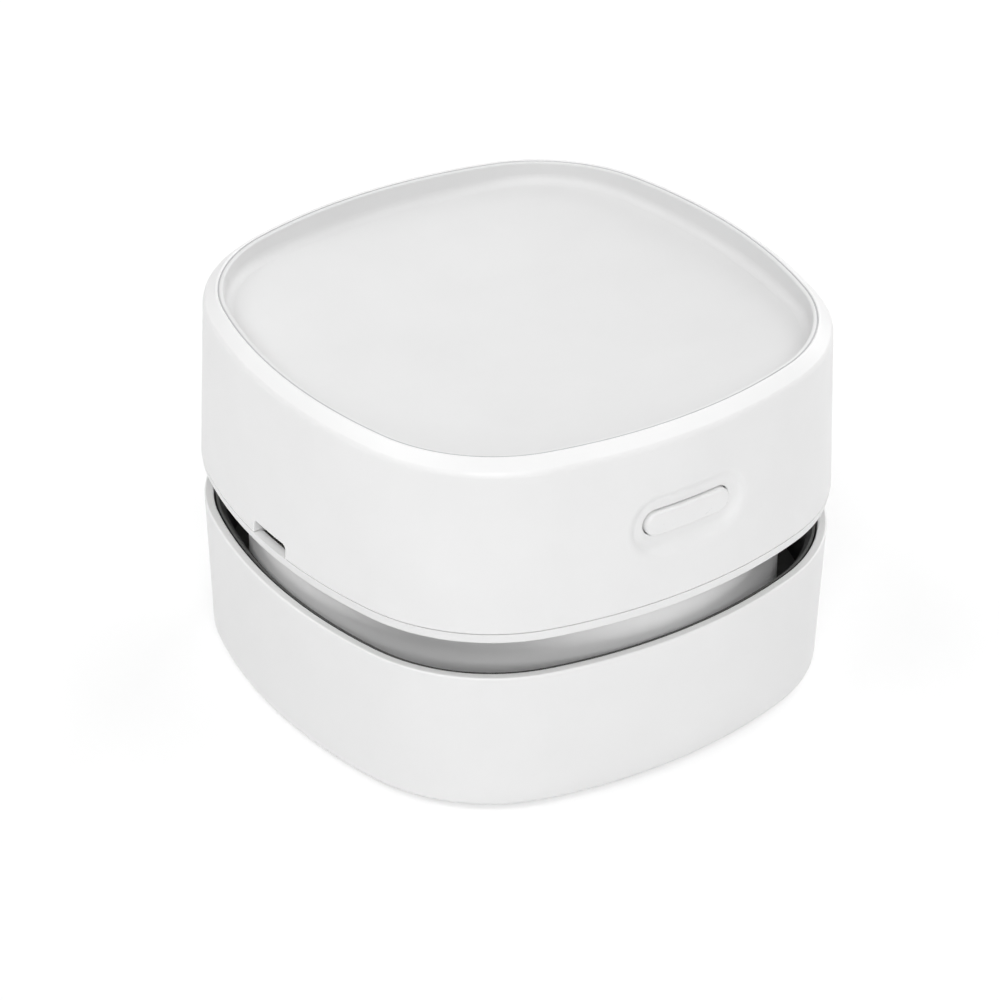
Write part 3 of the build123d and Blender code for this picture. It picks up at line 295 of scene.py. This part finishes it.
white = (0.80, 0.80, 0.80)
coarse = {"grain": 0.3, "grain_height": 0.02}
materials = {
    "white_case": moulded("white_case_plastic", white, 0.42),
    # painted shade: the tray takes a darker copy of the case's white, toning down its brightly lit top
    "white_tray": moulded("tray_plastic_painted_shade", (0.69, 0.69, 0.69), 0.50, specular=0.35),
    "white_button": moulded("white_button_plastic", white, 0.30, grain_height=0.002),
    "grey_collar": moulded("grey_collar_plastic", white, 0.45, grain=0.18, grain_height=0.006),
    "dark_plastic": moulded("dark_grained_plastic", (0.022, 0.022, 0.023), 0.6, tint=0.1, **coarse),
    "fan_plastic": moulded("fan_plastic", (0.16, 0.18, 0.21), 0.35),
    "soft_rubber": moulded("silicone_rubber", (0.035, 0.035, 0.036), 0.7, grain=0.4, grain_height=0.01,
                           tint=0.1),
    "bristle": moulded("nylon_bristle", (0.035, 0.035, 0.037), 0.38, grain=0.2, tint=0.15),
    "filter_cloth": woven(),
    "screw_steel": metal("zinc_steel", (0.52, 0.52, 0.53), 0.32),
    "motor_steel": metal("drawn_steel", (0.56, 0.56, 0.57), 0.34, stretch=(1, 1, 0.08)),
    "magnet": moulded("ferrite_magnet", (0.05, 0.05, 0.052), 0.6, grain=0.25, grain_height=0.012,
                      tint=0.12),
    "bronze": metal("bronze_metal", (0.62, 0.40, 0.17), 0.35),
    "socket_steel": metal("plated_steel", (0.62, 0.61, 0.58), 0.25, stretch=(0.1, 1, 1)),
    "socket_tongue": moulded("tongue_plastic", (0.02, 0.02, 0.02), 0.45),
    "board_green": board_material(),
    "component_black": moulded("component_epoxy", (0.03, 0.03, 0.031), 0.55, grain=0.15, grain_height=0.01),
    "plunger_grey": moulded("plunger_plastic", (0.25, 0.25, 0.26), 0.45),
    "cell_wrap": moulded("shrink_wrap", (0.03, 0.10, 0.30), 0.25, tint=0.05, coat=0.3),
}
rim_height = 24.0 * mm  # just under the bin's rim; up-facing faces above it get painted shade, the rim top lying in the shade of the head
# painted shadow: the grey of the strip in the tray's seam, standing for the seam's shade
seam_shadow_material = moulded("painted_seam_shadow", (0.42, 0.42, 0.43), 0.55, grain=0.2, tint=0.05)
# painted shade on the bin's rim top and painted light on the lid's up-facing faces
painted_tops = {
    # painted shade: a darker grey on the bin rim's up-facing top, standing for the head's shade over it
    "dust_bin": moulded_painted_top("case_plastic_painted_shade", white, 0.42, (0.655, 0.655, 0.65), rim_height),
    # painted light: a paler grey on the lid's up-facing faces, lifting their shade
    "bin_lid": moulded_painted_top("dark_plastic_painted_light", (0.018, 0.018, 0.0185), 0.65, (0.065, 0.065, 0.063),
                             low.z, **coarse),
}
for part in frame["record"]["subparts"]:
    mesh = nodes[part["node"]].data
    mesh.materials.clear()
    mesh.materials.append(painted_tops.get(part["node"], materials[part["material_slot"]]))


# ---- Mesh helpers ----
def new_piece(name, points, faces, slot_name, body):
    """Adds a smooth mesh piece that rides on a body and takes its finish from a slot."""
    mesh = bpy.data.meshes.new(name)
    mesh.from_pydata(points, [], faces)
    mesh.polygons.foreach_set("use_smooth", [True] * len(mesh.polygons))
    mesh.materials.append(materials[slot_name])
    piece = bpy.data.objects.new(name, mesh)
    bpy.context.scene.collection.objects.link(piece)
    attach(piece, body)
    return piece


def polar(radius, angle):
    return radius * math.cos(angle), radius * math.sin(angle)


def revolved(profile, steps):
    """Points and faces of a closed profile of (radius, height) turned about the Z axis."""
    count = len(profile)
    points = [(*polar(r, math.tau * step / steps), z) for step in range(steps) for r, z in profile]
    faces = []
    for step in range(steps):
        here, ahead = step * count, (step + 1) % steps * count
        for i in range(count):
            j = (i + 1) % count
            faces.append((here + i, ahead + i, ahead + j, here + j))
    return points, faces


# ---- Nozzle brush: a moulded strip with tufts of fine bristles ----
strip_width = 2.8 * mm
strip_height = 1.1 * mm
strip_round = 0.2 * mm
strip_round_steps = 3
strip_steps = 144
tuft_count = 36
tuft_radius = 0.66 * mm
bristles_per_tuft = 28
bristle_radius = 0.055 * mm
bristle_sides = 5
bristle_levels = ((0.0, 1.0), (0.5, 0.95), (1.0, 0.7))  # share of the length, and of the radius there
bristle_splay = 0.3 * mm
least_splay = 0.4  # as a share of the full splay
bristle_turn = 0.2  # how far a bristle strays around its tuft, in radians
bristle_uneven = 0.12 * mm  # spread of the tips' heights
golden_angle = math.pi * (3 - math.sqrt(5))
brush_seed = 5


def brush_strip(box_high):
    outer, top = box_high.x, box_high.z
    inner, bottom = outer - strip_width, top - strip_height
    profile = [(outer, top), (inner, top)]
    for centre, start in ((inner + strip_round, 180), (outer - strip_round, 270)):
        for step in range(strip_round_steps + 1):
            across, up = polar(strip_round, math.radians(start + step * 90 / strip_round_steps))
            profile.append((centre + across, bottom + strip_round + up))
    points, faces = revolved(profile, strip_steps)
    return new_piece("brush_strip", points, faces, "bristle", "bin")


def add_bristle(points, faces, root, tip):
    """Closed prism from root to tip, bent outwards towards its tip and tapered to it."""
    first = len(points)
    for share, taper in bristle_levels:
        bend = share * share
        x, y = (root[i] + (tip[i] - root[i]) * bend for i in range(2))
        z = root[2] + (tip[2] - root[2]) * share
        for side in range(bristle_sides):
            dx, dy = polar(bristle_radius * taper, math.tau * side / bristle_sides)
            points.append((x + dx, y + dy, z))
    for level in range(len(bristle_levels) - 1):
        for side in range(bristle_sides):
            a = first + level * bristle_sides + side
            b = first + level * bristle_sides + (side + 1) % bristle_sides
            faces.append((a, a + bristle_sides, b + bristle_sides, b))
    last = first + (len(bristle_levels) - 1) * bristle_sides
    faces.append(tuple(range(first, first + bristle_sides)))
    faces.append(tuple(range(last + bristle_sides - 1, last - 1, -1)))


def brush_tufts(box_low, box_high):
    draw = random.Random(brush_seed)
    middle_radius = box_high.x - strip_width / 2
    root_z = box_high.z - strip_height + strip_round
    points, faces = [], []
    for tuft in range(tuft_count):
        centre_x, centre_y = polar(middle_radius, math.tau * tuft / tuft_count)
        for index in range(bristles_per_tuft):
            share = math.sqrt((index + 0.5) / bristles_per_tuft)
            angle = index * golden_angle + draw.uniform(-bristle_turn, bristle_turn)
            dx, dy = polar(tuft_radius * share, angle)
            out_x, out_y = polar(bristle_splay * share * draw.uniform(least_splay, 1.0), angle)
            tip_z = box_low.z + draw.uniform(0, bristle_uneven)
            root = (centre_x + dx, centre_y + dy, root_z)
            add_bristle(points, faces, root, (root[0] + out_x, root[1] + out_y, tip_z))
    return new_piece("brush_tufts", points, faces, "bristle", "bin")


brush_low, brush_high = (Vector(corner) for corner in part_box("brush_ring"))
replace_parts(brush_strip(brush_high), "brush_ring")
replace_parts(brush_tufts(brush_low, brush_high), "brush_ring")

# ---- Filter cloth, stretched over the spokes of its frame ----
cloth_thickness = 0.28 * mm
cloth_crown = 0.16 * mm  # how far the air lifts it between two spokes
cloth_rings = 28
cloth_steps = 144
spoke_count = 6
spoke_phase = math.radians(15)


def filter_cloth(box_low, box_high):
    def level(share, angle):
        """Height at a share of the radius, lifted between the spokes."""
        lift = 4 * share * (1 - share) * (0.5 - 0.5 * math.cos(spoke_count * (angle - spoke_phase)))
        return box_low.z + cloth_crown * lift

    points, faces = [], []
    for top in (0, cloth_thickness):
        points.append((0, 0, box_low.z + top))
        for ring in range(1, cloth_rings + 1):
            share = ring / cloth_rings
            for step in range(cloth_steps):
                angle = math.tau * step / cloth_steps
                points.append((*polar(box_high.x * share, angle), level(share, angle) + top))
    layer = 1 + cloth_rings * cloth_steps
    for step in range(cloth_steps):
        ahead = (step + 1) % cloth_steps
        faces.append((0, 1 + ahead, 1 + step))
        faces.append((layer, layer + 1 + step, layer + 1 + ahead))
        for ring in range(cloth_rings - 1):
            a, b = (1 + ring * cloth_steps + turn for turn in (step, ahead))
            faces.append((a, b, b + cloth_steps, a + cloth_steps))
            faces.append((layer + a, layer + a + cloth_steps, layer + b + cloth_steps, layer + b))
        a, b = (1 + (cloth_rings - 1) * cloth_steps + turn for turn in (step, ahead))
        faces.append((a, b, layer + b, layer + a))
    return new_piece("filter_cloth", points, faces, "filter_cloth", "lid")


cloth_low, cloth_high = (Vector(corner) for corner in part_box("filter_mesh"))
cloth = filter_cloth(cloth_low, cloth_high)
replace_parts(cloth, "filter_mesh")

# ---- Painted shadow: a thin grey strip in the seam between the tray and the casing ----
body_half = high.x
side_radius = 83.8 * mm  # bow of each of the four sides
corner_radius = 27.6 * mm
arc_steps = 20
seam_half = 41.4 * mm  # half width of the plan outline at the seam
seam_drop = 0.08 * mm  # top of the painted-shadow strip below the rim
shadow_strip_half_width = 0.18 * mm
shadow_strip_half_height = 0.1 * mm
shadow_strip_sides = 12


def rounded_square(half, z):
    """Points around the body's plan outline, inset evenly to a half width."""
    side_centre = side_radius - body_half
    reach = side_radius - corner_radius
    corner_centre = (math.sqrt(2 * reach**2 - side_centre**2) - side_centre) / 2
    side_end = math.atan2(corner_centre, corner_centre + side_centre)
    inset = body_half - half
    arcs = ((-side_centre, 0, side_radius - inset, -side_end, side_end),
            (corner_centre, corner_centre, corner_radius - inset, side_end, math.pi / 2 - side_end))
    points = []
    for quarter in range(4):
        sin_t, cos_t = math.sin(quarter * math.pi / 2), math.cos(quarter * math.pi / 2)
        for centre_x, centre_y, radius, start, end in arcs:
            for step in range(arc_steps):
                dx, dy = polar(radius, start + (end - start) * step / arc_steps)
                x, y = centre_x + dx, centre_y + dy
                points.append((x * cos_t - y * sin_t, x * sin_t + y * cos_t, z))
    return points


# Painted shadow: a thin grey ring in the seam between tray and casing, standing for its shade
def seam_shadow_strip(rim_z):
    middle_z = rim_z - seam_drop - shadow_strip_half_height
    points, faces = [], []
    for side in range(shadow_strip_sides):
        angle = math.tau * side / shadow_strip_sides
        half = seam_half + shadow_strip_half_width * math.cos(angle)
        points += rounded_square(half, middle_z + shadow_strip_half_height * math.sin(angle))
    count = len(points) // shadow_strip_sides
    for side in range(shadow_strip_sides):
        here, there = side * count, (side + 1) % shadow_strip_sides * count
        for i in range(count):
            j = (i + 1) % count
            faces.append((here + i, here + j, there + j, there + i))
    piece = new_piece("seam_shadow_strip", points, faces, "soft_rubber", "head")
    piece.data.materials[0] = seam_shadow_material


seam_shadow_strip(high.z)

# ---- Stage: floor, world and lamps ----
world_fill = 0.1
floor_half = 3.0
floor_albedo = 0.93
floor_glow = 1.08  # brightness of the floor's own white
floor_glow_share = 0.5  # share of that white near the object, where the rest catches its shadow
shadow_reach = 120 * mm  # from here the floor fades to plain white
shadow_end = 2.5 * shadow_reach
lamp_distance = 1.2
lamps = {  # azimuth and elevation in degrees, size in metres, power in watts
    "front": (-34, 34, 0.6, 6.9),
    "left": (-110, 57, 0.7, 5.4),
    "right": (48, 58, 0.7, 3.7),
    "right_low": (40, 20, 0.7, 0.4),
    "back_right": (105, 30, 0.7, 6.0),
    "back_left": (-160, 35, 0.7, 2.4),
}


def shown_rays(made, links):
    """1 for rays that show the background: straight from the camera, mirrored or passed through."""
    path = made.new("ShaderNodeLightPath")
    shown = path.outputs["Is Camera Ray"]
    for kind in ("Is Glossy Ray", "Is Transmission Ray"):
        either = made.new("ShaderNodeMath")
        either.operation = "MAXIMUM"
        links.new(shown, either.inputs[0])
        links.new(path.outputs[kind], either.inputs[1])
        shown = either.outputs["Value"]
    return shown


def make_floor():
    """Floor that catches the object's shadow and fades to plain white away from it."""
    mesh = bpy.data.meshes.new("floor")
    corners = [(x * floor_half, y * floor_half, 0) for x, y in ((-1, -1), (1, -1), (1, 1), (-1, 1))]
    mesh.from_pydata(corners, [], [(0, 1, 2, 3)])
    floor = bpy.data.objects.new("floor", mesh)
    bpy.context.scene.collection.objects.link(floor)
    floor.location.z = low.z
    t = Tree("floor_card")
    t.set(Base_Color=(floor_albedo, floor_albedo, floor_albedo, 1), Roughness=0.9, Specular_IOR_Level=0.1)
    away = t.add("VectorMath", operation="LENGTH")
    t.link(t.place, away.inputs[0])
    share = t.ranged(away.outputs["Value"], shadow_reach, shadow_end, floor_glow_share)
    glow = t.add("Emission", Strength=floor_glow)
    mix = t.add("MixShader")
    t.link(t.combined("MULTIPLY", shown_rays(t.nodes, t.links), share), mix.inputs["Fac"])
    t.link(t.shader.outputs["BSDF"], mix.inputs[1])
    t.link(glow.outputs["Emission"], mix.inputs[2])
    t.link(mix.outputs["Shader"], t.nodes["Material Output"].inputs["Surface"])
    mesh.materials.append(t.material)


def make_world():
    """Weak even fill that is seen as plain white."""
    world = bpy.data.worlds.new("studio")
    world.use_nodes = True
    bpy.context.scene.world = world
    links, made = world.node_tree.links, world.node_tree.nodes
    fill, seen = made["Background"], made.new("ShaderNodeBackground")
    for background, strength in ((fill, world_fill), (seen, 1.0)):
        background.inputs["Color"].default_value = (1, 1, 1, 1)
        background.inputs["Strength"].default_value = strength
    mix = made.new("ShaderNodeMixShader")
    links.new(shown_rays(made, links), mix.inputs["Fac"])
    links.new(fill.outputs["Background"], mix.inputs[1])
    links.new(seen.outputs["Background"], mix.inputs[2])
    links.new(mix.outputs["Shader"], made["World Output"].inputs["Surface"])


def area_lamp(name, azimuth, elevation, size, watts):
    """Square lamp on a sphere about the object, seen from it at an azimuth and elevation in degrees."""
    a, e = math.radians(azimuth), math.radians(elevation)
    place = lamp_distance * Vector((math.sin(a) * math.cos(e), -math.cos(a) * math.cos(e), math.sin(e)))
    data = bpy.data.lights.new(name, "AREA")
    data.shape = "SQUARE"
    data.size = size
    data.energy = watts
    lamp = bpy.data.objects.new(name, data)
    bpy.context.scene.collection.objects.link(lamp)
    lamp.location = place
    lamp.rotation_euler = (place - Vector((0, 0, aim_height))).to_track_quat("Z", "Y").to_euler()


make_floor()
make_world()
for name, values in lamps.items():
    area_lamp(name, *values)

bpy.context.scene.view_settings.view_transform = "Standard"
